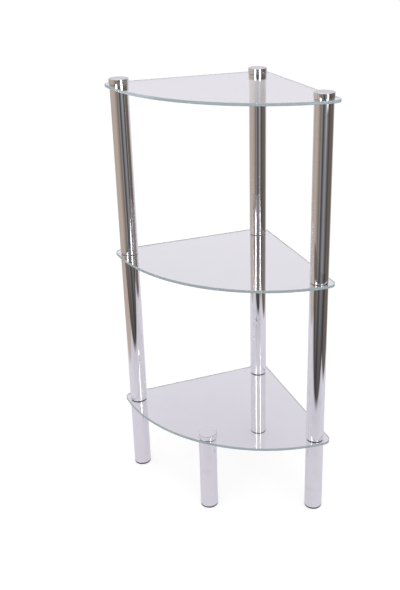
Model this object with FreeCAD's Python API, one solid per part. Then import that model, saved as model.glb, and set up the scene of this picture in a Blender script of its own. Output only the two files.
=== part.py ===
import FreeCAD, Part
import math
import os

# Glass shelves: quarter rounds in plan, with the square corner at the back (+Y) and the curve in front
SHELF_RADIUS = 302.0
SHELF_CORNER_RADIUS = 15.0
GLASS_THICKNESS = 5.0
GLASS_ARRIS = 0.6
GLASS_HOLE_CHAMFER = 0.5

# Post centre lines, measured in from the straight edges and from the curved edge
POST_WALL_INSET = 24.0
POST_FRONT_INSET = 21.5
FRONT_LEG_INSET = 18.0

# Chromed steel tubes: four short legs below the bottom shelf, three posts in each bay above it
TUBE_DIAMETER = 32.0
TUBE_WALL = 1.2
TUBE_END_CHAMFER = 0.5
LEG_TUBE_LENGTH = 139.0
BAY_TUBE_LENGTH = 301.0

# Threaded plugs, pressed into the tube ends until they leave a shallow recess for a washer
PLUG_LENGTH = 16.0
PLUG_LEAD_CHAMFER = 1.0
PRESS_CLEARANCE = 0.05

# Steel studs that run through the glass from one tube into the next, or into a cap
STUD_DIAMETER = 8.0
STUD_PLUG_REACH = 12.0
STUD_CAP_REACH = 6.0
STUD_END_CHAMFER = 0.8
THREAD_CLEARANCE = 0.05

# Collared washers: the flange lies in the recess of a tube end or cap and stands just proud of it, so
# that no steel meets the glass, and the collar keeps the stud off the hole
WASHER_EDGE_CLEARANCE = 0.2
WASHER_THICKNESS = 0.8
WASHER_PROUD = 0.2
COLLAR_DEPTH = 2.0
COLLAR_WALL = 1.9
COLLAR_CLEARANCE = 0.3

# Solid caps, a little wider at the top than at the base, in which the washers lie deeper than in the
# tubes, so that the rims all but touch the glass
CAP_HEIGHT = 10.0
CAP_GLASS_GAP = 0.05
CAP_BASE_OVERHANG = 0.25
CAP_TOP_OVERHANG = 1.5
CAP_BASE_ROUND = 0.2
CAP_TOP_ROUND = 1.0
CAP_BORE_SPARE = 0.5

# Plastic glides pushed into the lower ends of the legs
GLIDE_SETBACK = 0.25
GLIDE_FLANGE_THICKNESS = 3.0
GLIDE_EDGE_ROUND = 0.8
GLIDE_STEM_LENGTH = 12.0
GLIDE_STEM_WALL = 2.0
GLIDE_LEAD_CHAMFER = 0.8

# Sizes that follow from the fits
TUBE_RADIUS = TUBE_DIAMETER / 2
TUBE_BORE_RADIUS = TUBE_RADIUS - TUBE_WALL
PRESSED_RADIUS = TUBE_BORE_RADIUS - PRESS_CLEARANCE
WASHER_RECESS = WASHER_THICKNESS - WASHER_PROUD
STUD_RADIUS = STUD_DIAMETER / 2
THREAD_RADIUS = STUD_RADIUS + THREAD_CLEARANCE
COLLAR_BORE_RADIUS = STUD_RADIUS + COLLAR_CLEARANCE
COLLAR_RADIUS = COLLAR_BORE_RADIUS + COLLAR_WALL
GLASS_HOLE_RADIUS = COLLAR_RADIUS + COLLAR_CLEARANCE

# Heights of the undersides of the glass: every shelf is clamped between two washers, whose recessed
# faces are further apart than the tube ends
CLAMP_HEIGHT = GLASS_THICKNESS + 2 * WASHER_THICKNESS
SHELF_PITCH = BAY_TUBE_LENGTH + GLASS_THICKNESS + 2 * WASHER_PROUD
BOTTOM_GLASS_HEIGHT = GLIDE_FLANGE_THICKNESS + LEG_TUBE_LENGTH + WASHER_PROUD
SHELF_HEIGHTS = {
    "bottom": BOTTOM_GLASS_HEIGHT,
    "middle": BOTTOM_GLASS_HEIGHT + SHELF_PITCH,
    "top": BOTTOM_GLASS_HEIGHT + 2 * SHELF_PITCH,
}

ORIGIN = FreeCAD.Vector(0, 0, 0)
UP = FreeCAD.Vector(0, 0, 1)
ACROSS = FreeCAD.Vector(1, 0, 0)
SQUARE_CORNER_ANGLE = 90
FLAT = 1e-6

# The origin is on the floor under the middle of the shelves, whose rounded back corner is this far
# in front of the point where the two straight edges would meet
CORNER_CUT = SHELF_CORNER_RADIUS * (math.sqrt(2) - 1)
CORNER_Y = (SHELF_RADIUS + CORNER_CUT) / 2


def on_shelf(right_run, left_run):
    """Plan point that lies so far from the square corner along the right and the left straight edge."""
    x = (right_run - left_run) / math.sqrt(2)
    y = CORNER_Y - (right_run + left_run) / math.sqrt(2)
    return FreeCAD.Vector(x, y, 0)


SIDE_RUN = math.sqrt((SHELF_RADIUS - POST_FRONT_INSET) ** 2 - POST_WALL_INSET ** 2)
FRONT_RUN = (SHELF_RADIUS - FRONT_LEG_INSET) / math.sqrt(2)
POSTS = {
    "left": on_shelf(POST_WALL_INSET, SIDE_RUN),
    "right": on_shelf(SIDE_RUN, POST_WALL_INSET),
    "rear": on_shelf(POST_WALL_INSET, POST_WALL_INSET),
}
LEGS = dict(POSTS, front=on_shelf(FRONT_RUN, FRONT_RUN))


def turned(outline):
    """Solid turned about Z from a closed outline of (radius, height) points."""
    points = [FreeCAD.Vector(radius, 0, height) for radius, height in outline]
    face = Part.Face(Part.makePolygon(points + points[:1]))
    return face.revolve(ORIGIN, UP, 360)


def round_rim(solid, radius, height, rounding):
    """Rounds the circular edge of a turned solid that has this radius and height."""
    rims = []
    for edge in solid.Edges:
        box = edge.BoundBox
        if abs(box.ZMin - height) < FLAT and abs(box.ZMax - height) < FLAT:
            if abs(box.XMax - radius) < FLAT:
                rims.append(edge)
    return solid.makeFillet(rounding, rims)


def stand(solid, place, height):
    """Copy of a piece with its base at a height above a plan point."""
    copy = solid.copy()
    copy.translate(place + UP * height)
    return copy


def upside_down(solid):
    """Copy of a turned piece that hangs below its base plane."""
    copy = solid.copy()
    copy.rotate(ORIGIN, ACROSS, 180)
    return copy


def keep(name, *solids):
    """Writes a node, with its solids side by side where it has more than one."""
    shape = solids[0] if len(solids) == 1 else Part.makeCompound(solids)
    shape.exportStep("parts/" + name + ".step")


def glass_shelf(places):
    """Plate with rounded corners and a flat edge between two narrow bevels, drilled for the studs."""
    plate = Part.makeCylinder(SHELF_RADIUS, GLASS_THICKNESS, ORIGIN, UP, SQUARE_CORNER_ANGLE)
    plate.rotate(ORIGIN, UP, -SQUARE_CORNER_ANGLE * 1.5)
    plate.translate(FreeCAD.Vector(0, CORNER_Y, 0))
    corners = [edge for edge in plate.Edges if edge.BoundBox.ZLength > GLASS_THICKNESS / 2]
    plate = plate.makeFillet(SHELF_CORNER_RADIUS, corners)
    rims = [edge for edge in plate.Edges if edge.BoundBox.ZLength < GLASS_THICKNESS / 2]
    plate = plate.makeChamfer(GLASS_ARRIS, rims)
    mouth_radius = GLASS_HOLE_RADIUS + GLASS_HOLE_CHAMFER
    drill = turned([
        (0, 0),
        (mouth_radius, 0),
        (GLASS_HOLE_RADIUS, GLASS_HOLE_CHAMFER),
        (GLASS_HOLE_RADIUS, GLASS_THICKNESS - GLASS_HOLE_CHAMFER),
        (mouth_radius, GLASS_THICKNESS),
        (0, GLASS_THICKNESS),
    ])
    for place in places:
        plate = plate.cut(stand(drill, place, 0))
    return plate.Solids[0]


def tube(length):
    """Round tube standing on its lower end, with broken edges outside."""
    return turned([
        (TUBE_BORE_RADIUS, 0),
        (TUBE_RADIUS - TUBE_END_CHAMFER, 0),
        (TUBE_RADIUS, TUBE_END_CHAMFER),
        (TUBE_RADIUS, length - TUBE_END_CHAMFER),
        (TUBE_RADIUS - TUBE_END_CHAMFER, length),
        (TUBE_BORE_RADIUS, length),
    ])


def plug():
    """Plug for the lower end of a tube, with its outer face at the base and its lead-in upwards."""
    return turned([
        (THREAD_RADIUS, 0),
        (PRESSED_RADIUS, 0),
        (PRESSED_RADIUS, PLUG_LENGTH - PLUG_LEAD_CHAMFER),
        (PRESSED_RADIUS - PLUG_LEAD_CHAMFER, PLUG_LENGTH),
        (THREAD_RADIUS, PLUG_LENGTH),
    ])


def stud(length):
    """Stud standing on its lower end, chamfered at both ends."""
    return turned([
        (0, 0),
        (STUD_RADIUS - STUD_END_CHAMFER, 0),
        (STUD_RADIUS, STUD_END_CHAMFER),
        (STUD_RADIUS, length - STUD_END_CHAMFER),
        (STUD_RADIUS - STUD_END_CHAMFER, length),
        (0, length),
    ])


def washer():
    """Washer for the upper face of a shelf, with its flange above the base and its collar below."""
    flange_radius = TUBE_BORE_RADIUS - WASHER_EDGE_CLEARANCE
    return turned([
        (COLLAR_BORE_RADIUS, -COLLAR_DEPTH),
        (COLLAR_RADIUS, -COLLAR_DEPTH),
        (COLLAR_RADIUS, 0),
        (flange_radius, 0),
        (flange_radius, WASHER_THICKNESS),
        (COLLAR_BORE_RADIUS, WASHER_THICKNESS),
    ])


def cap():
    """Solid cap with rounded rims, a recess for a washer below and a blind threaded bore in it."""
    base_radius = TUBE_RADIUS + CAP_BASE_OVERHANG
    top_radius = TUBE_RADIUS + CAP_TOP_OVERHANG
    recess = WASHER_THICKNESS - CAP_GLASS_GAP
    bore_top = recess + STUD_CAP_REACH + CAP_BORE_SPARE
    blank = turned([
        (TUBE_BORE_RADIUS, 0),
        (base_radius, 0),
        (top_radius, CAP_HEIGHT),
        (0, CAP_HEIGHT),
        (0, bore_top),
        (THREAD_RADIUS, bore_top),
        (THREAD_RADIUS, recess),
        (TUBE_BORE_RADIUS, recess),
    ])
    blank = round_rim(blank, base_radius, 0, CAP_BASE_ROUND)
    return round_rim(blank, top_radius, CAP_HEIGHT, CAP_TOP_ROUND)


def glide():
    """Foot disc with a rounded lower rim and a hollow stem that is pushed up into the leg."""
    flange_radius = TUBE_RADIUS - GLIDE_SETBACK
    hollow_radius = PRESSED_RADIUS - GLIDE_STEM_WALL
    stem_top = GLIDE_FLANGE_THICKNESS + GLIDE_STEM_LENGTH
    blank = turned([
        (0, 0),
        (flange_radius, 0),
        (flange_radius, GLIDE_FLANGE_THICKNESS),
        (PRESSED_RADIUS, GLIDE_FLANGE_THICKNESS),
        (PRESSED_RADIUS, stem_top - GLIDE_LEAD_CHAMFER),
        (PRESSED_RADIUS - GLIDE_LEAD_CHAMFER, stem_top),
        (hollow_radius, stem_top),
        (hollow_radius, GLIDE_FLANGE_THICKNESS),
        (0, GLIDE_FLANGE_THICKNESS),
    ])
    return round_rim(blank, flange_radius, 0, GLIDE_EDGE_ROUND)


def legs():
    """Four short tubes on glides, each with a threaded plug in its upper end."""
    tube_top = GLIDE_FLANGE_THICKNESS + LEG_TUBE_LENGTH
    for name, place in LEGS.items():
        keep("foot_glide_" + name, stand(glide(), place, 0))
        keep("leg_tube_" + name, stand(tube(LEG_TUBE_LENGTH), place, GLIDE_FLANGE_THICKNESS))
        keep("leg_plug_" + name, stand(upside_down(plug()), place, tube_top - WASHER_RECESS))


def seat_above(shelf, gap):
    """Height of the lower end of a tube or cap that stands on a shelf, clear of the glass by a gap."""
    return SHELF_HEIGHTS[shelf] + GLASS_THICKNESS + gap


def bay_posts(bay, shelf_below):
    """Three long tubes that stand on a shelf, each with a threaded plug in both ends."""
    base = seat_above(shelf_below, WASHER_PROUD)
    tube_top = base + BAY_TUBE_LENGTH
    for name, place in POSTS.items():
        keep(bay + "_tube_" + name, stand(tube(BAY_TUBE_LENGTH), place, base))
        keep(bay + "_base_plug_" + name, stand(plug(), place, base + WASHER_RECESS))
        keep(bay + "_head_plug_" + name, stand(upside_down(plug()), place, tube_top - WASHER_RECESS))


def clamped_joint(shelf, name, place, stud_reach_above):
    """Stud through the glass and the pair of collared washers that the tubes press on its two faces."""
    glass_base = SHELF_HEIGHTS[shelf]
    stud_base = glass_base - WASHER_THICKNESS - STUD_PLUG_REACH
    stud_length = STUD_PLUG_REACH + CLAMP_HEIGHT + stud_reach_above
    upper_washer = stand(washer(), place, glass_base + GLASS_THICKNESS)
    lower_washer = stand(upside_down(washer()), place, glass_base)
    keep(shelf + "_washers_" + name, upper_washer, lower_washer)
    keep(shelf + "_stud_" + name, stand(stud(stud_length), place, stud_base))


os.makedirs("parts", exist_ok=True)

legs()
keep("glass_shelf_bottom", stand(glass_shelf(LEGS.values()), ORIGIN, SHELF_HEIGHTS["bottom"]))
for name, place in POSTS.items():
    clamped_joint("bottom", name, place, STUD_PLUG_REACH)
clamped_joint("bottom", "front", LEGS["front"], STUD_CAP_REACH)
keep("front_leg_cap", stand(cap(), LEGS["front"], seat_above("bottom", CAP_GLASS_GAP)))

bay_posts("lower", "bottom")
keep("glass_shelf_middle", stand(glass_shelf(POSTS.values()), ORIGIN, SHELF_HEIGHTS["middle"]))
for name, place in POSTS.items():
    clamped_joint("middle", name, place, STUD_PLUG_REACH)

bay_posts("upper", "middle")
keep("glass_shelf_top", stand(glass_shelf(POSTS.values()), ORIGIN, SHELF_HEIGHTS["top"]))
for name, place in POSTS.items():
    clamped_joint("top", name, place, STUD_CAP_REACH)
    keep("top_cap_" + name, stand(cap(), place, seat_above("top", CAP_GLASS_GAP)))
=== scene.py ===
import math

import bmesh
import bpy
from mathutils import Euler, Matrix, Vector


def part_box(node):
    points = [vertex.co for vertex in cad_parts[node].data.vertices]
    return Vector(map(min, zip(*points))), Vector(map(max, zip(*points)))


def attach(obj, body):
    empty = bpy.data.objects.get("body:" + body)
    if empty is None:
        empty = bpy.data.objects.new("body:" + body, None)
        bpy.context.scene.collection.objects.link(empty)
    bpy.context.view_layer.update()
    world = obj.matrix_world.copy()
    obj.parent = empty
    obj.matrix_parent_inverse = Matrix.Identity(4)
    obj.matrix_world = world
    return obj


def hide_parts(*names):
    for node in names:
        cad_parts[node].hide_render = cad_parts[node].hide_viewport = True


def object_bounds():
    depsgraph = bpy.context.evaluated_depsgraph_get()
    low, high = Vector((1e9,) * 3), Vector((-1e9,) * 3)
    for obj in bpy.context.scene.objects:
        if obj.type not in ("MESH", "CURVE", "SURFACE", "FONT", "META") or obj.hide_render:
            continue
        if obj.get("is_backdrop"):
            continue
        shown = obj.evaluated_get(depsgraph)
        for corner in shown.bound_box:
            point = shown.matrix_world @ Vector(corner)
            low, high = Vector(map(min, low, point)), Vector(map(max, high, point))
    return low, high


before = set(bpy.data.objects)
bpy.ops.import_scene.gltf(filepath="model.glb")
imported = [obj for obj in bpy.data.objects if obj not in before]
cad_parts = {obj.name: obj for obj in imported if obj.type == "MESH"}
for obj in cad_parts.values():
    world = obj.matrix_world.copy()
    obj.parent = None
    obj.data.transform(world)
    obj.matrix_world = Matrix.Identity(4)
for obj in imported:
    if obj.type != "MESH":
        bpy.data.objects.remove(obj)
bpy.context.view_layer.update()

# Foot glides: dark polyethylene discs that keep the steel off the floor. Each is moulded in one piece
# with a hollow stem, which is pushed up into the leg until the disc meets the end of the tube.
LEGS = ("left", "right", "rear", "front")
GLIDE_DISC_THICKNESS = 0.003
GLIDE_RIM_ROUND = 0.0008
GLIDE_STEM_WALL = 0.002
GLIDE_STEM_LEAD = 0.0008
GLIDE_STEM_SETBACK = 0.001
GATE_MARK_RADIUS = 0.003
GATE_MARK_DEPTH = 0.0004
GLIDE_DARK = (0.030, 0.026, 0.034, 1.0)
GLIDE_SCUFFED = (0.075, 0.068, 0.080, 1.0)
GLIDE_ROUGHNESS = 0.42
GLIDE_SCUFFED_ROUGHNESS = 0.6
MOULD_GRAIN_SCALE = 2600.0
MOULD_GRAIN_STRENGTH = 0.25
MOULD_GRAIN_HEIGHT = 0.00005
RUB_SCALE = 140.0
RUB_START = 0.45
RUB_FULL = 0.70
TURNED_SIDES = 128
CORNER_SEGMENTS = 5
HOLDING_LOOP = 1.5
SHARP_ANGLE = math.radians(35)
MERGE_DISTANCE = 1e-6
UPRIGHT = Vector((0, 0, 1))


def axis_of(node):
    """Plan place of the upright centre line of a round node."""
    low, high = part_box(node)
    return Vector(((low.x + high.x) / 2, (low.y + high.y) / 2, 0))


def turned(axis, outline, closed):
    """Shape turned about an upright axis from (radius, height, rounding) points.
    Rounded corners get a holding loop on each side, so that the walls beside them shade straight."""
    shape = bmesh.new()
    places = [axis + Vector((radius, 0, height)) for radius, height, rounding in outline]
    chain = []
    corners = []
    for index, (radius, height, rounding) in enumerate(outline):
        here = places[index]
        if not rounding:
            chain.append(shape.verts.new(here))
            continue
        before = places[index - 1] - here
        after = places[(index + 1) % len(places)] - here
        reach = rounding * HOLDING_LOOP
        chain.append(shape.verts.new(here + before.normalized() * reach))
        corner = shape.verts.new(here)
        chain.append(corner)
        corners.append((corner, rounding))
        chain.append(shape.verts.new(here + after.normalized() * reach))
    followers = chain[1:] + chain[:1] if closed else chain[1:]
    for start, end in zip(chain, followers):
        shape.edges.new((start, end))
    for corner, rounding in corners:
        bmesh.ops.bevel(shape, geom=[corner], offset=rounding, offset_type="OFFSET", affect="VERTICES",
                        segments=CORNER_SEGMENTS, profile=0.5, material=-1)
    bmesh.ops.spin(shape, geom=shape.verts[:] + shape.edges[:], cent=axis, axis=UPRIGHT, dvec=(0, 0, 0),
                   angle=2 * math.pi, space=Matrix.Identity(4), steps=TURNED_SIDES, use_merge=True)
    return shape


def object_of(shape, name, material):
    """Object made from a shape as it stands, with one material."""
    mesh = bpy.data.meshes.new(name)
    shape.to_mesh(mesh)
    shape.free()
    mesh.materials.append(material)
    made = bpy.data.objects.new(name, mesh)
    bpy.context.scene.collection.objects.link(made)
    return made


def finish_mesh(shape, name, material):
    """Closes a shape, smooths its round faces, keeps its sharp edges and makes it an object."""
    bmesh.ops.remove_doubles(shape, verts=shape.verts[:], dist=MERGE_DISTANCE)
    bmesh.ops.recalc_face_normals(shape, faces=shape.faces[:])
    for face in shape.faces:
        face.smooth = True
    for edge in shape.edges:
        if edge.is_manifold and edge.calc_face_angle() > SHARP_ANGLE:
            edge.smooth = False
    return object_of(shape, name, material)


def stand_for(piece, node):
    """Puts a finished piece on the frame in place of its CAD node."""
    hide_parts(node)
    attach(piece, "root")


def feed(tree, socket, value):
    """Sets an input to a plain value, or links it to the socket that the value comes from."""
    if isinstance(value, bpy.types.NodeSocket):
        tree.links.new(value, socket)
    else:
        socket.default_value = value


def feed_named(tree, node, inputs):
    """Feeds a node's inputs by name; _ in a name stands for a space."""
    for name, value in inputs.items():
        feed(tree, node.inputs[name.replace("_", " ")], value)


def node_in(tree, kind, **inputs):
    """New shader node with its inputs fed."""
    made = tree.nodes.new(kind)
    feed_named(tree, made, inputs)
    return made


def node_group(name, inputs, outputs):
    """New shader node group with the named sockets; returns it with its two ends."""
    group = bpy.data.node_groups.new(name, "ShaderNodeTree")
    for in_out, sockets in (("INPUT", inputs), ("OUTPUT", outputs)):
        for label, kind in sockets.items():
            group.interface.new_socket(name=label, in_out=in_out, socket_type="NodeSocket" + kind)
    return group, group.nodes.new("NodeGroupInput"), group.nodes.new("NodeGroupOutput")


def use_group(tree, group, **inputs):
    """Places a node group in a material and feeds its inputs."""
    made = tree.nodes.new("ShaderNodeGroup")
    made.node_tree = group
    feed_named(tree, made, inputs)
    return made


def new_material(name):
    """Material with a Principled shader; returns it with its tree, its shader and the object coordinates."""
    material = bpy.data.materials.new(name)
    material.use_nodes = True
    tree = material.node_tree
    place = tree.nodes.new("ShaderNodeTexCoord").outputs["Object"]
    return material, tree, tree.nodes["Principled BSDF"], place


def blend_colours(tree, share, first, second):
    """Colour that goes from the first to the second with a mask."""
    mix = tree.nodes.new("ShaderNodeMix")
    mix.data_type = "RGBA"
    sockets = [socket for socket in mix.inputs if socket.enabled]
    for socket, value in zip(sockets, (share, first, second)):
        feed(tree, socket, value)
    return next(socket for socket in mix.outputs if socket.enabled)


def ramp(tree, value, **limits):
    """Value that is carried over evenly from one range to another, 0 to 1 where no limit is given."""
    return node_in(tree, "ShaderNodeMapRange", Value=value, **limits).outputs["Result"]


def soft_step(tree, value, start, end):
    """Mask that rises softly from 0 at one value to 1 at another."""
    step = node_in(tree, "ShaderNodeMapRange", Value=value, From_Min=start, From_Max=end)
    step.interpolation_type = "SMOOTHSTEP"
    return step.outputs["Result"]


def raise_bump(tree, shader, height, strength, distance):
    """Gives a shader a fine relief."""
    bump = node_in(tree, "ShaderNodeBump", Strength=strength, Distance=distance, Height=height)
    tree.links.new(bump.outputs["Normal"], shader.inputs["Normal"])


# Moulded grain: the fine spark texture of a mould, with a slower mask of rubbed places.
moulded_grain, ends_in, ends_out = node_group(
    "moulded_grain",
    {"Vector": "Vector", "Grain Scale": "Float", "Rub Scale": "Float"},
    {"Height": "Float", "Rubbed": "Float"},
)
grain = node_in(moulded_grain, "ShaderNodeTexNoise", Detail=3.0, Roughness=0.6,
                Vector=ends_in.outputs["Vector"], Scale=ends_in.outputs["Grain Scale"])
rub = node_in(moulded_grain, "ShaderNodeTexNoise", Detail=5.0, Roughness=0.65,
              Vector=ends_in.outputs["Vector"], Scale=ends_in.outputs["Rub Scale"])
feed_named(moulded_grain, ends_out, {
    "Height": grain.outputs["Fac"],
    "Rubbed": soft_step(moulded_grain, rub.outputs["Fac"], RUB_START, RUB_FULL),
})


def moulded_plastic(name, colours, roughness, rub_scale):
    """Satin moulded plastic with mould grain; colours and roughness are given for fresh and rubbed places."""
    material, tree, shader, place = new_material(name)
    surface = use_group(tree, moulded_grain, Vector=place, Grain_Scale=MOULD_GRAIN_SCALE, Rub_Scale=rub_scale)
    rubbed = surface.outputs["Rubbed"]
    fresh_roughness, rubbed_roughness = roughness
    feed_named(tree, shader, {
        "Base Color": blend_colours(tree, rubbed, *colours),
        "Roughness": ramp(tree, rubbed, To_Min=fresh_roughness, To_Max=rubbed_roughness),
    })
    raise_bump(tree, shader, surface.outputs["Height"], MOULD_GRAIN_STRENGTH, MOULD_GRAIN_HEIGHT)
    return material


glide_plastic = moulded_plastic("glide_plastic", (GLIDE_DARK, GLIDE_SCUFFED),
                                (GLIDE_ROUGHNESS, GLIDE_SCUFFED_ROUGHNESS), RUB_SCALE)
for leg in LEGS:
    node = "foot_glide_" + leg
    low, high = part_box(node)
    disc_radius = (high.x - low.x) / 2
    stem_radius = disc_radius - GLIDE_STEM_SETBACK
    hollow_radius = stem_radius - GLIDE_STEM_WALL
    disc_top = low.z + GLIDE_DISC_THICKNESS
    glide = turned(axis_of(node), [
        (0, low.z + GATE_MARK_DEPTH, 0),
        (GATE_MARK_RADIUS - GATE_MARK_DEPTH, low.z + GATE_MARK_DEPTH, 0),
        (GATE_MARK_RADIUS, low.z, 0),
        (disc_radius, low.z, GLIDE_RIM_ROUND),
        (disc_radius, disc_top, 0),
        (stem_radius, disc_top, 0),
        (stem_radius, high.z - GLIDE_STEM_LEAD, 0),
        (stem_radius - GLIDE_STEM_LEAD, high.z, 0),
        (hollow_radius, high.z, 0),
        (hollow_radius, disc_top, 0),
        (0, disc_top, 0),
    ], closed=False)
    stand_for(finish_mesh(glide, "moulded_" + node, glide_plastic), node)

# Chromed tubes: drawn steel tube, polished along its length and plated, four short legs below the bottom
# shelf and three posts in each bay above it. The cut ends are rounded over before plating.
POSTS = ("left", "right", "rear")
TUBE_WALL = 0.0012
TUBE_END_ROUND = 0.0007
CHROME_BRIGHT = (0.905, 0.905, 0.920, 1.0)
CHROME_HAZED = (0.850, 0.850, 0.870, 1.0)
CHROME_ROUGHNESS = 0.012
CHROME_SMUDGED_ROUGHNESS = 0.04
CHROME_MARK_SCALE = 38.0
SMUDGE_START = 0.48
SMUDGE_FULL = 0.78
POLISH_STRENGTH = 0.3
TUBE_POLISH_SCALE = (120.0, 120.0, 6.0)
TUBE_POLISH_HEIGHT = 0.0000015
TUBE_GRAZING_TINT = (1.0, 1.0, 1.0, 1.0)

# Handling marks: clean metal or glass goes to smudged roughness in soft patches.
handling_marks, ends_in, ends_out = node_group(
    "handling_marks",
    {"Vector": "Vector", "Scale": "Float", "Clean": "Float", "Smudged": "Float"},
    {"Roughness": "Float", "Mask": "Float"},
)
patches = node_in(handling_marks, "ShaderNodeTexNoise", Detail=4.0, Roughness=0.55, Distortion=0.6,
                  Vector=ends_in.outputs["Vector"], Scale=ends_in.outputs["Scale"])
mask = soft_step(handling_marks, patches.outputs["Fac"], SMUDGE_START, SMUDGE_FULL)
level = ramp(handling_marks, mask, To_Min=ends_in.outputs["Clean"], To_Max=ends_in.outputs["Smudged"])
feed_named(handling_marks, ends_out, {"Roughness": level, "Mask": mask})


def handled_finish(name, mark_scale, colours, roughness):
    """Material with handling marks; colours and roughness are given for clean and smudged places."""
    material, tree, shader, place = new_material(name)
    clean, smudged = roughness
    marks = use_group(tree, handling_marks, Vector=place, Scale=mark_scale, Clean=clean, Smudged=smudged)
    feed_named(tree, shader, {
        "Base Color": blend_colours(tree, marks.outputs["Mask"], *colours),
        "Roughness": marks.outputs["Roughness"],
    })
    return material, tree, shader, place


def chrome_plate(name, polish_scale, polish_height, grazing_tint):
    """Bright chrome plate with faint smudges, over the faint waves of polishing."""
    material, tree, shader, place = handled_finish(name, CHROME_MARK_SCALE, (CHROME_BRIGHT, CHROME_HAZED),
                                                   (CHROME_ROUGHNESS, CHROME_SMUDGED_ROUGHNESS))
    shader.inputs["Metallic"].default_value = 1.0
    shader.inputs["Specular Tint"].default_value = grazing_tint
    along = node_in(tree, "ShaderNodeMapping", Vector=place, Scale=polish_scale)
    waves = node_in(tree, "ShaderNodeTexNoise", Vector=along.outputs["Vector"], Scale=1.0, Detail=2.0)
    raise_bump(tree, shader, waves.outputs["Fac"], POLISH_STRENGTH, polish_height)
    return material


chrome_tube = chrome_plate("chrome_tube", TUBE_POLISH_SCALE, TUBE_POLISH_HEIGHT, TUBE_GRAZING_TINT)
tube_nodes = ["leg_tube_" + leg for leg in LEGS]
tube_nodes += [bay + "_tube_" + post for bay in ("lower", "upper") for post in POSTS]
for node in tube_nodes:
    low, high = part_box(node)
    outer = (high.x - low.x) / 2
    inner = outer - TUBE_WALL
    tube = turned(axis_of(node), [
        (inner, low.z, 0),
        (outer, low.z, TUBE_END_ROUND),
        (outer, high.z, TUBE_END_ROUND),
        (inner, high.z, 0),
    ], closed=True)
    stand_for(finish_mesh(tube, "plated_" + node, chrome_tube), node)

# Threaded plugs: black nylon plugs, drilled and tapped for the studs and pressed into the tube ends just
# past flush. They are plain turned forms, so the CAD pieces stay and take the moulded finish.
PLUG_BLACK = (0.018, 0.018, 0.020, 1.0)
PLUG_RUBBED = (0.050, 0.050, 0.054, 1.0)
PLUG_ROUGHNESS = 0.38
PLUG_RUBBED_ROUGHNESS = 0.55
plug_plastic = moulded_plastic("plug_plastic", (PLUG_BLACK, PLUG_RUBBED),
                               (PLUG_ROUGHNESS, PLUG_RUBBED_ROUGHNESS), RUB_SCALE)
plug_nodes = ["leg_plug_" + leg for leg in LEGS]
plug_nodes += [bay + "_" + end + "_plug_" + post
               for bay in ("lower", "upper") for end in ("base", "head") for post in POSTS]
for node in plug_nodes:
    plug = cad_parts[node]
    plug.material_slots[0].material = plug_plastic

# Studs: zinc-plated steel rod with a rolled coarse thread, which pulls the tube below and the tube or cap
# above together through the hole in the glass.
THREAD_PITCH = 0.00125
THREAD_DEPTH = 0.00070
THREAD_ROOT_SHARE = 0.25
THREAD_CREST_SHARE = 0.125
THREAD_SIDES = 40
THREAD_TURNS_OVER = 2
THREAD_TURNS_BELOW = 1.5
ZINC_BRIGHT = (0.66, 0.67, 0.70, 1.0)
ZINC_DULL = (0.48, 0.49, 0.50, 1.0)
ZINC_ROUGHNESS = 0.28
ZINC_DULL_ROUGHNESS = 0.5
ZINC_MARK_SCALE = 420.0
SPANGLE_SCALE = 1500.0
SPANGLE_STRENGTH = 0.2
SPANGLE_HEIGHT = 0.00002


def threaded_rod(node):
    """Rod with a helical thread, cut square at both ends of its node."""
    low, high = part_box(node)
    axis = axis_of(node)
    crest = (high.x - low.x) / 2
    root = crest - THREAD_DEPTH
    flank_share = (1 - THREAD_ROOT_SHARE - THREAD_CREST_SHARE) / 2
    tooth = [
        (root, 0.0),
        (root, THREAD_ROOT_SHARE),
        (crest, THREAD_ROOT_SHARE + flank_share),
        (crest, 1 - flank_share),
    ]
    turns = math.ceil((high.z - low.z) / THREAD_PITCH) + THREAD_TURNS_OVER
    shape = bmesh.new()
    chain = []
    for turn in range(turns):
        for radius, share in tooth:
            height = low.z + (turn + share - THREAD_TURNS_BELOW) * THREAD_PITCH
            chain.append(shape.verts.new(axis + Vector((radius, 0, height))))
    for start, end in zip(chain, chain[1:]):
        shape.edges.new((start, end))
    bmesh.ops.spin(shape, geom=shape.verts[:] + shape.edges[:], cent=axis, axis=UPRIGHT,
                   dvec=(0, 0, THREAD_PITCH / THREAD_SIDES), angle=2 * math.pi,
                   space=Matrix.Identity(4), steps=THREAD_SIDES, use_merge=False)
    bmesh.ops.remove_doubles(shape, verts=shape.verts[:], dist=MERGE_DISTANCE)
    for height, outwards in ((low.z, -UPRIGHT), (high.z, UPRIGHT)):
        cut = bmesh.ops.bisect_plane(shape, geom=shape.verts[:] + shape.edges[:] + shape.faces[:],
                                     plane_co=(0, 0, height), plane_no=outwards, clear_outer=True)
        rim = [part for part in cut["geom_cut"] if isinstance(part, bmesh.types.BMEdge)]
        bmesh.ops.triangle_fill(shape, edges=rim, use_beauty=True, normal=outwards)
    return shape


zinc_stud, tree, shader, place = handled_finish("zinc_stud", ZINC_MARK_SCALE, (ZINC_BRIGHT, ZINC_DULL),
                                                (ZINC_ROUGHNESS, ZINC_DULL_ROUGHNESS))
shader.inputs["Metallic"].default_value = 1.0
spangle = node_in(tree, "ShaderNodeTexNoise", Vector=place, Scale=SPANGLE_SCALE, Detail=2.0)
raise_bump(tree, shader, spangle.outputs["Fac"], SPANGLE_STRENGTH, SPANGLE_HEIGHT)
stud_nodes = [shelf + "_stud_" + post for shelf in ("bottom", "middle", "top") for post in POSTS]
stud_nodes.append("bottom_stud_front")
for node in stud_nodes:
    stand_for(finish_mesh(threaded_rod(node), "threaded_" + node, zinc_stud), node)

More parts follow.
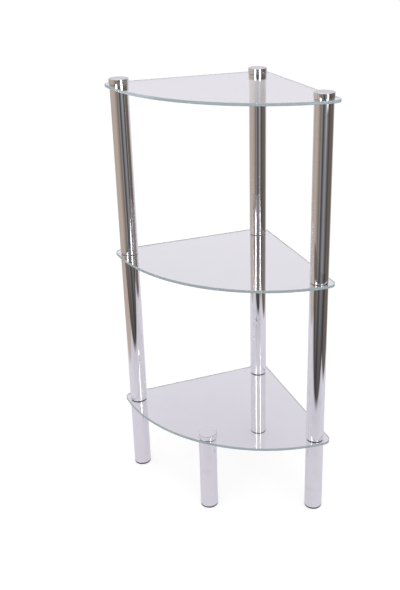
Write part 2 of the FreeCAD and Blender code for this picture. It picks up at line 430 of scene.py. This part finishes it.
# Collared washers: clear soft plastic, one above and one below the glass at every post. The flange lies
# in the tube end, just proud of the steel, and the collar centres the stud in the hole of the glass.
WASHER_THICKNESS = 0.0008
WASHER_EDGE_ROUND = 0.00025
COLLAR_OUTER = 0.0062
COLLAR_INNER = 0.0043
COLLAR_DEPTH = 0.002
WASHER_CLEAR = (0.94, 0.95, 0.95, 1.0)
WASHER_MILKY = (0.84, 0.86, 0.86, 1.0)
WASHER_ROUGHNESS = 0.10
WASHER_MILKY_ROUGHNESS = 0.28
WASHER_RUB_SCALE = 300.0
WASHER_CLEARNESS = 0.8
WASHER_INDEX = 1.43
washer_plastic = moulded_plastic("washer_plastic", (WASHER_CLEAR, WASHER_MILKY),
                                 (WASHER_ROUGHNESS, WASHER_MILKY_ROUGHNESS), WASHER_RUB_SCALE)
shader = washer_plastic.node_tree.nodes["Principled BSDF"]
shader.inputs["Transmission Weight"].default_value = WASHER_CLEARNESS
shader.inputs["IOR"].default_value = WASHER_INDEX


def collared_washer(axis, radius, seat, outwards):
    """Washer on a face of the glass; outwards is 1 above the glass and -1 below it."""
    return turned(axis, [
        (COLLAR_INNER, seat - outwards * COLLAR_DEPTH, 0),
        (COLLAR_OUTER, seat - outwards * COLLAR_DEPTH, 0),
        (COLLAR_OUTER, seat, 0),
        (radius, seat, WASHER_EDGE_ROUND),
        (radius, seat + outwards * WASHER_THICKNESS, WASHER_EDGE_ROUND),
        (COLLAR_INNER, seat + outwards * WASHER_THICKNESS, 0),
    ], closed=True)


for node in [stud.replace("_stud_", "_washers_") for stud in stud_nodes]:
    low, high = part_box(node)
    radius = (high.x - low.x) / 2
    pair = collared_washer(axis_of(node), radius, high.z - WASHER_THICKNESS, 1)
    lower = collared_washer(axis_of(node), radius, low.z + WASHER_THICKNESS, -1)
    lower_mesh = bpy.data.meshes.new("lower_washer")
    lower.to_mesh(lower_mesh)
    lower.free()
    pair.from_mesh(lower_mesh)
    bpy.data.meshes.remove(lower_mesh)
    stand_for(finish_mesh(pair, "moulded_" + node, washer_plastic), node)

# Glass shelves: 5 mm clear float glass cut to a quarter round, with the corners rounded, the edges ground
# flat and polished between two narrow bevels, and a hole drilled for each stud.
SHELF_RADIUS = 0.302
SHELF_CORNER_RADIUS = 0.015
GLASS_ARRIS = 0.0006
HOLE_RADIUS = 0.0065
HOLE_CHAMFER = 0.0005
HOLE_SIDES = 64
FRONT_STEPS = 140
TIP_STEPS = 24
REAR_STEPS = 20
QUARTER = math.pi / 2
EDGE_SLOT = 1
GLASS_INDEX = 1.52
GLASS_CLEAN = (0.985, 0.990, 0.990, 1.0)
GLASS_HAZED = (0.965, 0.975, 0.975, 1.0)
GLASS_ROUGHNESS = 0.0
GLASS_SMUDGED_ROUGHNESS = 0.018
GLASS_MARK_SCALE = 16.0
GLASS_CLEARNESS = 1.0
DRAW_SCALE = 7.0
DRAW_STRENGTH = 0.1
DRAW_HEIGHT = 0.00004
EDGE_GREEN = (0.79, 0.93, 0.97, 1.0)
EDGE_PALE = (0.87, 0.97, 0.99, 1.0)
EDGE_ROUGHNESS = 0.16
EDGE_PALE_ROUGHNESS = 0.34
EDGE_MARK_SCALE = 90.0
EDGE_CLEARNESS = 0.5
GRIND_SCALE = 900.0
GRIND_STRENGTH = 0.15
GRIND_HEIGHT = 0.00002


def arc_on(shape, start, centre, angle, steps):
    """Draws an arc on from a vertex about an upright line, and returns its last vertex."""
    made = bmesh.ops.spin(shape, geom=[start], cent=centre, axis=UPRIGHT, dvec=(0, 0, 0), angle=angle,
                          space=Matrix.Identity(4), steps=steps, use_merge=False)
    return next(part for part in made["geom_last"] if isinstance(part, bmesh.types.BMVert))


def shelf_outline(shape, corner, height, inset):
    """Closed outline of a shelf at a height, set in from its edge all round; returns its edges."""
    known = set(shape.edges)
    level = Vector((0, 0, height))
    tip_run = math.sqrt((SHELF_RADIUS - SHELF_CORNER_RADIUS) ** 2 - SHELF_CORNER_RADIUS ** 2)
    right_run = Vector((1, -1, 0)).normalized()
    left_run = Vector((-1, -1, 0)).normalized()
    rear_centre = corner + (right_run + left_run) * SHELF_CORNER_RADIUS + level
    right_centre = corner + right_run * tip_run + left_run * SHELF_CORNER_RADIUS + level
    left_centre = corner + left_run * tip_run + right_run * SHELF_CORNER_RADIUS + level
    lean = math.asin(SHELF_CORNER_RADIUS / (SHELF_RADIUS - SHELF_CORNER_RADIUS))
    corner_radius = SHELF_CORNER_RADIUS - inset
    start = shape.verts.new(rear_centre - left_run * corner_radius)
    bend = shape.verts.new(right_centre - left_run * corner_radius)
    shape.edges.new((start, bend))
    bend = arc_on(shape, bend, right_centre, -QUARTER - lean, TIP_STEPS)
    bend = arc_on(shape, bend, corner, -QUARTER + 2 * lean, FRONT_STEPS)
    bend = arc_on(shape, bend, left_centre, -QUARTER - lean, TIP_STEPS)
    back = shape.verts.new(rear_centre - right_run * corner_radius)
    shape.edges.new((bend, back))
    arc_on(shape, back, rear_centre, -QUARTER, REAR_STEPS)
    loop = [edge for edge in shape.edges if edge not in known]
    ends = list({vert for edge in loop for vert in edge.verts})
    bmesh.ops.remove_doubles(shape, verts=ends, dist=MERGE_DISTANCE)
    return [edge for edge in shape.edges if edge not in known]


def hole_outline(shape, axis, height, radius):
    """Circle of a drilled hole at a height; returns its edges."""
    made = bmesh.ops.create_circle(shape, cap_ends=False, segments=HOLE_SIDES, radius=radius,
                                   matrix=Matrix.Translation(axis + Vector((0, 0, height))))
    return list({edge for vert in made["verts"] for edge in vert.link_edges})


def bevelled_levels(low, high, bevel):
    """Heights of a wall with a narrow bevel at each end, each with how far the bevel cuts back there."""
    return (low, bevel), (low + bevel, 0), (high - bevel, 0), (high, bevel)


def walls(shape, loops):
    """Joins a stack of loops with faces."""
    for lower, upper in zip(loops, loops[1:]):
        bmesh.ops.bridge_loops(shape, edges=lower + upper)


clear_glass, tree, shader, place = handled_finish(
    "clear_glass", GLASS_MARK_SCALE, (GLASS_CLEAN, GLASS_HAZED), (GLASS_ROUGHNESS, GLASS_SMUDGED_ROUGHNESS))
shader.inputs["Transmission Weight"].default_value = GLASS_CLEARNESS
shader.inputs["IOR"].default_value = GLASS_INDEX
draw = node_in(tree, "ShaderNodeTexNoise", Vector=place, Scale=DRAW_SCALE, Detail=1.0)
raise_bump(tree, shader, draw.outputs["Fac"], DRAW_STRENGTH, DRAW_HEIGHT)

ground_edge, tree, shader, place = handled_finish(
    "ground_glass_edge", EDGE_MARK_SCALE, (EDGE_GREEN, EDGE_PALE), (EDGE_ROUGHNESS, EDGE_PALE_ROUGHNESS))
shader.inputs["Transmission Weight"].default_value = EDGE_CLEARNESS
shader.inputs["IOR"].default_value = GLASS_INDEX
grind = node_in(tree, "ShaderNodeTexNoise", Vector=place, Scale=GRIND_SCALE, Detail=2.0)
raise_bump(tree, shader, grind.outputs["Fac"], GRIND_STRENGTH, GRIND_HEIGHT)

for shelf, posts in (("bottom", LEGS), ("middle", POSTS), ("top", POSTS)):
    node = "glass_shelf_" + shelf
    low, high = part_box(node)
    corner = Vector((0, low.y + SHELF_RADIUS, 0))
    plate = bmesh.new()
    rims = [shelf_outline(plate, corner, height, inset)
            for height, inset in bevelled_levels(low.z, high.z, GLASS_ARRIS)]
    faces_below, faces_above = list(rims[0]), list(rims[-1])
    walls(plate, rims)
    for post in posts:
        axis = axis_of(shelf + "_stud_" + post)
        bores = [hole_outline(plate, axis, height, HOLE_RADIUS + widening)
                 for height, widening in bevelled_levels(low.z, high.z, HOLE_CHAMFER)]
        faces_below += bores[0]
        faces_above += bores[-1]
        walls(plate, bores)
    for face in plate.faces:
        face.material_index = EDGE_SLOT
    bmesh.ops.triangle_fill(plate, edges=faces_below, use_beauty=True, normal=-UPRIGHT)
    bmesh.ops.triangle_fill(plate, edges=faces_above, use_beauty=True, normal=UPRIGHT)
    plate_piece = finish_mesh(plate, "polished_" + node, clear_glass)
    plate_piece.data.materials.append(ground_edge)
    stand_for(plate_piece, node)

# Caps: solid turned steel with a straight side, a little wider than the tube, and the upper rim rounded
# over, polished and plated. Each has a recess for its washer and a blind thread below, and screws down on
# a stud.
CAP_RADIUS = 0.01695
CAP_RIM_ROUND = 0.0011
CAP_BASE_ROUND = 0.0002
CAP_RECESS_RADIUS = 0.0148
CAP_RECESS_DEPTH = 0.00075
CAP_BORE_RADIUS = 0.00405
CAP_BORE_DEPTH = 0.0065
CAP_POLISH_SCALE = (420.0, 420.0, 420.0)
CAP_POLISH_HEIGHT = 0.000001
CAP_GRAZING_TINT = (0.86, 0.85, 0.86, 1.0)
chrome_cap = chrome_plate("chrome_cap", CAP_POLISH_SCALE, CAP_POLISH_HEIGHT, CAP_GRAZING_TINT)
for node in ["top_cap_" + post for post in POSTS] + ["front_leg_cap"]:
    low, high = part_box(node)
    recess = low.z + CAP_RECESS_DEPTH
    cap = turned(axis_of(node), [
        (0, recess + CAP_BORE_DEPTH, 0),
        (CAP_BORE_RADIUS, recess + CAP_BORE_DEPTH, 0),
        (CAP_BORE_RADIUS, recess, 0),
        (CAP_RECESS_RADIUS, recess, 0),
        (CAP_RECESS_RADIUS, low.z, 0),
        (CAP_RADIUS, low.z, CAP_BASE_ROUND),
        (CAP_RADIUS, high.z, CAP_RIM_ROUND),
        (0, high.z, 0),
    ], closed=False)
    stand_for(finish_mesh(cap, "plated_" + node, chrome_cap), node)

# Studio surroundings: a painted reflection of the room, a glowing ring around the object that only mirrors
# see.
# It shows a tan screen on the left, the room in front dark with grey stands, the right side dark and brown,
# and a pale backdrop at the rear.
TAN = (0.49, 0.41, 0.355, 1.0)
DARK_TAN = (0.34, 0.285, 0.235, 1.0)
TAUPE = (0.19, 0.165, 0.14, 1.0)
GREY = (0.27, 0.26, 0.265, 1.0)
DARK_GREY = (0.155, 0.15, 0.155, 1.0)
CHARCOAL = (0.065, 0.062, 0.066, 1.0)
BROWN = (0.145, 0.12, 0.095, 1.0)
BACKDROP = (0.790, 0.772, 0.820, 1.0)

# Colour at each bearing in degrees: 0 is to the right, -90 to the front and 90 to the rear.
SURROUND = (
    (-180, TAN), (-134, TAN), (-114, DARK_TAN), (-97, TAUPE), (-84, GREY), (-75, DARK_GREY),
    (-70, CHARCOAL), (-65, CHARCOAL), (-57, DARK_GREY), (-45, GREY), (-36, GREY), (-24, DARK_GREY),
    (-12, CHARCOAL), (4, BROWN), (42, BROWN), (84, BACKDROP), (135, BACKDROP), (160, TAN),
)
RING_RADIUS = 1.3
RING_HEIGHT = 0.8
RING_SIDES = 128


def worked_out(tree, operation, *values):
    """Result of a sum on one or two values."""
    sum_node = tree.nodes.new("ShaderNodeMath")
    sum_node.operation = operation
    for socket, value in zip(sum_node.inputs, values):
        feed(tree, socket, value)
    return sum_node.outputs[0]


studio_surround, ends_in, ends_out = node_group("studio_surround", {"Vector": "Vector"}, {"Color": "Color"})
parts = node_in(studio_surround, "ShaderNodeSeparateXYZ", Vector=ends_in.outputs["Vector"])
bearing = worked_out(studio_surround, "ARCTAN2", parts.outputs["Y"], parts.outputs["X"])
ring = node_in(studio_surround, "ShaderNodeValToRGB",
               Fac=ramp(studio_surround, bearing, From_Min=-math.pi, From_Max=math.pi))
stops = ring.color_ramp.elements
for index, (degrees, colour) in enumerate(SURROUND):
    share = (degrees + 180) / 360
    stop = stops[index] if index < len(stops) else stops.new(share)
    stop.position = share
    stop.color = colour
feed_named(studio_surround, ends_out, {"Color": ring.outputs["Color"]})


def studio_object(name, shape, material, only_mirrored):
    """Floor or card of the studio; a mirrored card shows only in reflections and casts no shadow."""
    card = object_of(shape, name, material)
    if only_mirrored:
        card.visible_camera = False
        card.visible_diffuse = False
        card.visible_transmission = False
        card.visible_shadow = False
    card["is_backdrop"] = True
    return card


def bare_material(name):
    """Material with no shader yet; returns it with its tree and the object coordinates."""
    material, tree, shader, place = new_material(name)
    tree.nodes.remove(shader)
    return material, tree, place


def show(tree, surface):
    """Makes a shader the surface of its material."""
    tree.links.new(surface, tree.nodes["Material Output"].inputs["Surface"])


ring_paint, tree, place = bare_material("surround_paint")
around = use_group(tree, studio_surround, Vector=place)
glow = node_in(tree, "ShaderNodeEmission", Color=around.outputs["Color"], Strength=1.0)
show(tree, glow.outputs[0])
ring_shape = bmesh.new()
bmesh.ops.create_cone(ring_shape, cap_ends=False, segments=RING_SIDES, radius1=RING_RADIUS,
                      radius2=RING_RADIUS, depth=RING_HEIGHT,
                      matrix=Matrix.Translation((0, 0, RING_HEIGHT / 2)))
studio_object("studio_surround", ring_shape, ring_paint, only_mirrored=True)

# Floor: a broad pale floor with a strip of lavender grey paper under the object. The camera sees it white
# with the object's shadow; mirrors see the paper and, past its edges, the dark studio floor.
# The paper is painted darker towards its front edge, a painted shade where the light falls off, and lighter
# towards the rear.
PAPER_EDGE = (0.585, 0.565, 0.625, 1.0)
PAPER_NEAR = (0.675, 0.652, 0.715, 1.0)
PAPER_FAR = (0.790, 0.772, 0.820, 1.0)
PAPER_EDGE_DEPTH = -0.45
PAPER_FRONT_DEPTH = -0.15
PAPER_NEAR_DEPTH = 0.2
PAPER_FAR_DEPTH = 1.7
PAPER_TURN = 0.40165
PAPER_HALF_WIDTH = 0.62
PAPER_FRONT = 0.49
PAPER_EDGE_SOFTNESS = 0.03
PAPER_GLOW = 0.65
PAPER_LIT_SHARE = 0.5
UNLIT = (0.0, 0.0, 0.0, 1.0)
DARK_FLOOR = (0.045, 0.040, 0.040, 1.0)
DARK_FLOOR_REACH = 1.0
DARK_FLOOR_SHARE = 0.85
FLOOR_WHITE = (1.0, 1.0, 1.0, 1.0)
FLOOR_PALE = (0.50, 0.50, 0.50, 1.0)
FLOOR_GLOW = 0.66
FLOOR_SIZE = 30.0


def lit_and_glowing(tree, colour, lit_colour, glow_strength):
    """Floor surface of which one part glows by itself and the other takes light and shadow."""
    glow = node_in(tree, "ShaderNodeEmission", Color=colour, Strength=glow_strength)
    lit = node_in(tree, "ShaderNodeBsdfDiffuse", Color=lit_colour)
    both = tree.nodes.new("ShaderNodeAddShader")
    tree.links.new(glow.outputs[0], both.inputs[0])
    tree.links.new(lit.outputs[0], both.inputs[1])
    return both.outputs[0]


def blend_shaders(tree, share, first, second):
    """Shader that goes from the first to the second with a mask."""
    mix = tree.nodes.new("ShaderNodeMixShader")
    for socket, value in zip(mix.inputs, (share, first, second)):
        tree.links.new(value, socket)
    return mix.outputs[0]


floor_paint, tree, place = bare_material("floor_paint")
turned_place = node_in(tree, "ShaderNodeMapping", Vector=place, Rotation=(0, 0, -PAPER_TURN))
parts = node_in(tree, "ShaderNodeSeparateXYZ", Vector=turned_place.outputs["Vector"])
across = worked_out(tree, "ABSOLUTE", parts.outputs["X"])
depth = parts.outputs["Y"]
beside = ramp(tree, across, From_Min=PAPER_HALF_WIDTH - PAPER_EDGE_SOFTNESS,
              From_Max=PAPER_HALF_WIDTH + PAPER_EDGE_SOFTNESS)
before = ramp(tree, depth, From_Min=PAPER_EDGE_SOFTNESS - PAPER_FRONT,
              From_Max=-PAPER_EDGE_SOFTNESS - PAPER_FRONT)
front = ramp(tree, depth, From_Min=PAPER_EDGE_DEPTH, From_Max=PAPER_FRONT_DEPTH)
back = ramp(tree, depth, From_Min=PAPER_NEAR_DEPTH, From_Max=PAPER_FAR_DEPTH)
near_edge = ramp(tree, depth, From_Min=-PAPER_FRONT - DARK_FLOOR_REACH, From_Max=-PAPER_FRONT,
                 To_Max=DARK_FLOOR_SHARE)
around = use_group(tree, studio_surround, Vector=place).outputs["Color"]
# Painted shade: the paper goes darker from PAPER_NEAR to PAPER_EDGE towards its front edge.
paper = blend_colours(tree, front, PAPER_EDGE, PAPER_NEAR)
paper = blend_colours(tree, back, paper, PAPER_FAR)
bare_floor = blend_colours(tree, near_edge, around, DARK_FLOOR)
mirrored = blend_colours(tree, beside, paper, around)
mirrored = blend_colours(tree, before, mirrored, bare_floor)
rays = tree.nodes.new("ShaderNodeLightPath")
seen = blend_colours(tree, rays.outputs["Glossy Depth"], paper, mirrored)
lit_seen = blend_colours(tree, PAPER_LIT_SHARE, UNLIT, seen)
by_way_of_object = lit_and_glowing(tree, seen, lit_seen, PAPER_GLOW)
direct = lit_and_glowing(tree, FLOOR_WHITE, FLOOR_PALE, FLOOR_GLOW)
show(tree, blend_shaders(tree, rays.outputs["Is Camera Ray"], by_way_of_object, direct))
floor_shape = bmesh.new()
bmesh.ops.create_grid(floor_shape, x_segments=1, y_segments=1, size=FLOOR_SIZE / 2)
studio_object("studio_floor", floor_shape, floor_paint, only_mirrored=False)

# Studio air: white to the camera, lavender grey through the glass, the surroundings in mirrors, and an
# even soft light on everything else. Mirrors see the surroundings rise into a pale ceiling.
AIR_WHITE = (1.0, 1.0, 1.0, 1.0)
AIR_LIGHT = (0.70, 0.70, 0.70, 1.0)
CEILING = (0.715, 0.692, 0.752, 1.0)
CEILING_START = 0.15
CEILING_FULL = 0.75
studio = bpy.data.worlds.new("studio")
bpy.context.scene.world = studio
studio.use_nodes = True
tree = studio.node_tree
direction = tree.nodes.new("ShaderNodeTexCoord").outputs["Generated"]
around = use_group(tree, studio_surround, Vector=direction).outputs["Color"]
parts = node_in(tree, "ShaderNodeSeparateXYZ", Vector=direction)
overhead = soft_step(tree, parts.outputs["Z"], CEILING_START, CEILING_FULL)
mirrored = blend_colours(tree, overhead, around, CEILING)
rays = tree.nodes.new("ShaderNodeLightPath")
seen = blend_colours(tree, rays.outputs["Is Glossy Ray"], AIR_LIGHT, mirrored)
seen = blend_colours(tree, rays.outputs["Is Transmission Ray"], seen, PAPER_FAR)
seen = blend_colours(tree, rays.outputs["Is Camera Ray"], seen, AIR_WHITE)
tree.links.new(seen, tree.nodes["Background"].inputs["Color"])

# Soft boxes: cloth faces that fade towards the edges, upright ones about a metre off on both sides of the
# camera's line, which draw the white stripes in the chrome by way of the glass, and broad ones above. A first
# mirror shows them at a plain level, and a second one, mostly the weak mirror of the glass, in full.

# Each row: name, place, size, evenly bright part, width of its fade, full level, level of its lamp.
SOFT_BOXES = (
    ("left_soft_box", (-0.17, -1.07, 1.23), (0.52, 1.10), (0.23, 0.77), (0.06, 0.055), 7.5, 1.3),
    ("right_soft_box", (1.04, -0.75, 1.22), (0.82, 1.30), (0.33, 0.82), (0.06, 0.075), 8.0, 0.85),
    # The next four faces light nothing: they are glowing cards seen only in mirrors, painted highlights and
    # painted reflections of a soft box foot, a stand, a screen and a soft box.
    ("right_soft_box_foot", (1.05, -0.63, 0.6525), (0.40, 0.275), (0.32, 0.195), (0.04, 0.04), 1.2, 0.0),
    ("right_stand", (0.98, -0.80, 0.62), (0.44, 0.60), (0.04, 0.20), (0.20, 0.20), 0.4, 0.0),
    ("front_screen", (0.45, -1.35, 1.37), (2.4, 0.50), (2.24, 0.34), (0.08, 0.08), 0.6, 0.0),
    ("front_soft_box", (0.35, -1.05, 1.65), (2.0, 0.5), (1.8, 0.3), (0.10, 0.10), 0.9, 0.0),
    ("top_soft_box", (0.0, -0.2, 2.4), (1.6, 1.6), (1.2, 1.2), (0.20, 0.20), 2.5, 0.5),
)
SEEN_THROUGH_GLASS = ("left_soft_box",)
PLAIN_LEVEL = 1.2
FIRST_MIRROR = 1.0
SECOND_MIRROR = 2.0
AIM_HEIGHT = 0.45
HANGING_HEIGHT = 2.0
for name, spot, size, core, fade_widths, full_level, lamp_level in SOFT_BOXES:
    aim_height = AIM_HEIGHT if spot[2] > HANGING_HEIGHT else spot[2]
    turn = (Vector((0, 0, aim_height)) - Vector(spot)).to_track_quat("-Z", "Y").to_euler()
    if lamp_level:
        lamp = bpy.data.lights.new(name, "AREA")
        lamp.shape = "RECTANGLE"
        lamp.size, lamp.size_y = size
        lamp.energy = lamp_level * math.pi * size[0] * size[1]
        soft_box = bpy.data.objects.new(name, lamp)
        soft_box.location = spot
        soft_box.rotation_euler = turn
        soft_box.visible_camera = False
        soft_box.visible_glossy = False
        soft_box.visible_transmission = False
        bpy.context.scene.collection.objects.link(soft_box)
    face_paint, tree, place = bare_material(name + "_face")
    parts = node_in(tree, "ShaderNodeSeparateXYZ", Vector=place)
    fades = []
    for axis_name, width, fade_width in zip("XY", core, fade_widths):
        off_centre = worked_out(tree, "ABSOLUTE", parts.outputs[axis_name])
        fades.append(soft_step(tree, off_centre, width / 2 + fade_width, width / 2))
    cover = worked_out(tree, "MULTIPLY", *fades)
    rays = tree.nodes.new("ShaderNodeLightPath")
    # Painted highlight: the faces glow apart from their lamps, and a second mirror sees them at full level,
    # several times the level of their lamps.
    level = ramp(tree, rays.outputs["Glossy Depth"], From_Min=FIRST_MIRROR, From_Max=SECOND_MIRROR,
                 To_Min=min(full_level, PLAIN_LEVEL), To_Max=full_level)
    glow = node_in(tree, "ShaderNodeEmission", Strength=level)
    clear = tree.nodes.new("ShaderNodeBsdfTransparent")
    show(tree, blend_shaders(tree, cover, clear.outputs[0], glow.outputs[0]))
    face_shape = bmesh.new()
    bmesh.ops.create_grid(face_shape, x_segments=1, y_segments=1, size=0.5)
    bmesh.ops.scale(face_shape, vec=(size[0], size[1], 1), verts=face_shape.verts[:])
    face_card = studio_object(name + "_face", face_shape, face_paint, only_mirrored=True)
    face_card.visible_transmission = name in SEEN_THROUGH_GLASS
    face_card.location = spot
    face_card.rotation_euler = turn

# Camera: a short telephoto from the front right, a little above the top shelf, framed low and to the left.
CAMERA_PLACE = (0.53880, -1.24482, 1.00080)
CAMERA_TURN = (1.19533, 0.00960, 0.39524)
CAMERA_LENS = 49.287
CAMERA_SHIFT = (-0.06884, -0.08011)
camera_data = bpy.data.cameras.new("camera")
camera_data.lens = CAMERA_LENS
camera_data.shift_x, camera_data.shift_y = CAMERA_SHIFT
camera = bpy.data.objects.new("camera", camera_data)
camera.location = CAMERA_PLACE
camera.rotation_euler = Euler(CAMERA_TURN)
bpy.context.scene.collection.objects.link(camera)
bpy.context.scene.camera = camera
bpy.context.scene.view_settings.view_transform = "Standard"

low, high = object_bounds()
